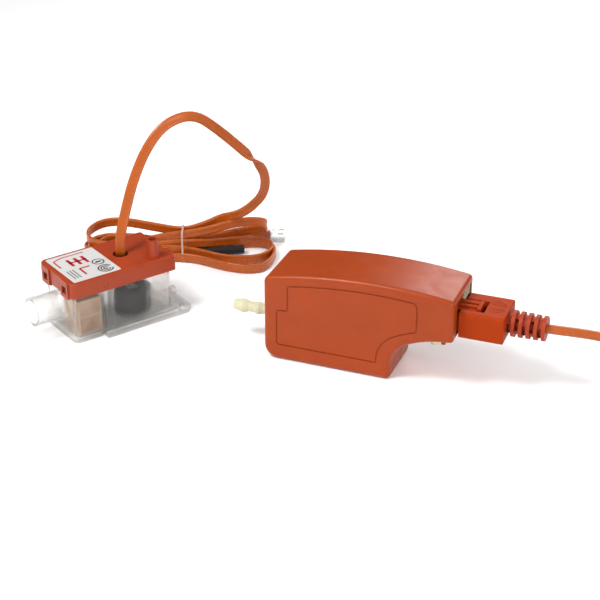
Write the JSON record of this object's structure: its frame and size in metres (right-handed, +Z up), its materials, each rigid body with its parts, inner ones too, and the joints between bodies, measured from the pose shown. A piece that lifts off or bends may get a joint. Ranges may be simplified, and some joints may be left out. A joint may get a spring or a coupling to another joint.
{
  "type": "condensate pump",
  "caption": "Upright solenoid condensate pump with a plug-in power lead, and a clear float reservoir on a sliding bracket, joined to it by a flat sensor cable.",
  "frame": {"origin": "centre of the underside of the pump's foot", "axes": "+Z up; +X along the pump, from its inlet barb to its power plug; +Y towards the pump's back cover"},
  "size_m": [0.467, 0.2107, 0.1197],
  "materials": {
    "housing_orange": "moulded plastic, satin",
    "cover_orange": "moulded plastic, satin",
    "lid_orange": "moulded plastic, fine grain",
    "plug_red": "soft moulded plastic, satin",
    "relief_red": "soft moulded plastic, satin",
    "cable_orange": "soft cable sheath, satin",
    "clear_plastic": "clear moulded plastic, polished",
    "nylon_cream": "natural nylon, satin",
    "float_black": "closed-cell foam, satin",
    "steel": "plated steel",
    "brass": "bright brass",
    "copper": "enamelled copper wire",
    "black_rubber": "soft rubber, satin",
    "valve_rubber": "moulded rubber",
    "board_green": "solder-mask lacquer",
    "component_black": "moulded epoxy",
    "label_white": "printed film",
    "filter_mesh": "woven mesh",
    "tie_clear": "soft clear tie",
    "wire_sheath": "coloured core sheaths"
  },
  "bodies": {
    "units": {"pump_housing": "housing_orange", "power_socket": "housing_orange", "pump_back_cover": "cover_orange", "cable_hank": "cable_orange", "reservoir_body": "clear_plastic", "modular_plug": "clear_plastic", "pump_inlet_barb": "nylon_cream", "pump_outlet_barb": "nylon_cream", "sensor_socket": "nylon_cream", "coil_bobbin": "nylon_cream", "outlet_head": "nylon_cream", "core_frame": "steel", "return_spring": "steel", "damping_spring": "steel", "housing_screws": "steel", "pump_cylinder": "brass", "socket_pins": "brass", "modular_plug_contacts": "brass", "solenoid_coil": "copper", "rubber_mounts": "black_rubber", "breather_hose": "black_rubber", "outlet_hose": "black_rubber", "control_board": "board_green", "board_components": "component_black", "inlet_filter": "filter_mesh", "hank_tie": "tie_clear"},
    "piston": {"piston": "steel"},
    "piston_valve": {"piston_valve": "valve_rubber"},
    "outlet_valve": {"outlet_valve": "valve_rubber"},
    "latch": {"latch_clip": "plug_red"},
    "power_plug": {"plug_shell": "plug_red", "plug_contacts": "brass", "plug_strain_relief": "relief_red", "power_lead": "cable_orange", "power_lead_coil": "cable_orange", "lead_tie": "tie_clear", "lead_wires": "wire_sheath"},
    "bracket": {"mounting_bracket": "clear_plastic"},
    "lid": {"lid": "lid_orange", "lid_gasket": "black_rubber", "lid_potting": "component_black", "sensor_board": "board_green", "lid_label": "label_white", "cable_loop": "cable_orange"},
    "float": {"float_body": "float_black", "float_magnet": "steel"}
  },
  "joints": [
    {"name": "piston_stroke", "type": "slide", "parent": "units", "child": "piston", "axis": [1, 0, 0], "range_m": [-0.0025, 0.0025], "stiffness_N_per_m": 400, "deforming": ["return_spring", "damping_spring"]},
    {"name": "piston_valve_lift", "type": "slide", "parent": "piston", "child": "piston_valve", "axis": [1, 0, 0], "range_m": [0, 0.0008], "stiffness_N_per_m": 20},
    {"name": "outlet_valve_lift", "type": "slide", "parent": "units", "child": "outlet_valve", "axis": [1, 0, 0], "range_m": [0, 0.0008], "stiffness_N_per_m": 20},
    {"name": "latch_flex", "type": "hinge", "parent": "units", "child": "latch", "pos_m": [0.071, 0, 0.046], "axis": [0, -1, 0], "range_deg": [0, 7], "stiffness_Nm_per_rad": 0.05},
    {"name": "plug_pull", "type": "slide", "parent": "units", "child": "power_plug", "axis": [1, 0, 0], "range_m": [0, 0.014]},
    {"name": "bracket_slide", "type": "slide", "parent": "units", "child": "bracket", "axis": [0.5446, 0.8387, 0], "range_m": [0, 0.028]},
    {"name": "lid_lift", "type": "slide", "parent": "units", "child": "lid", "axis": [0, 0, 1], "range_m": [0, 0.04]},
    {"name": "float_rise", "type": "slide", "parent": "units", "child": "float", "axis": [0, 0, 1], "range_m": [0, 0.01]}
  ]
}
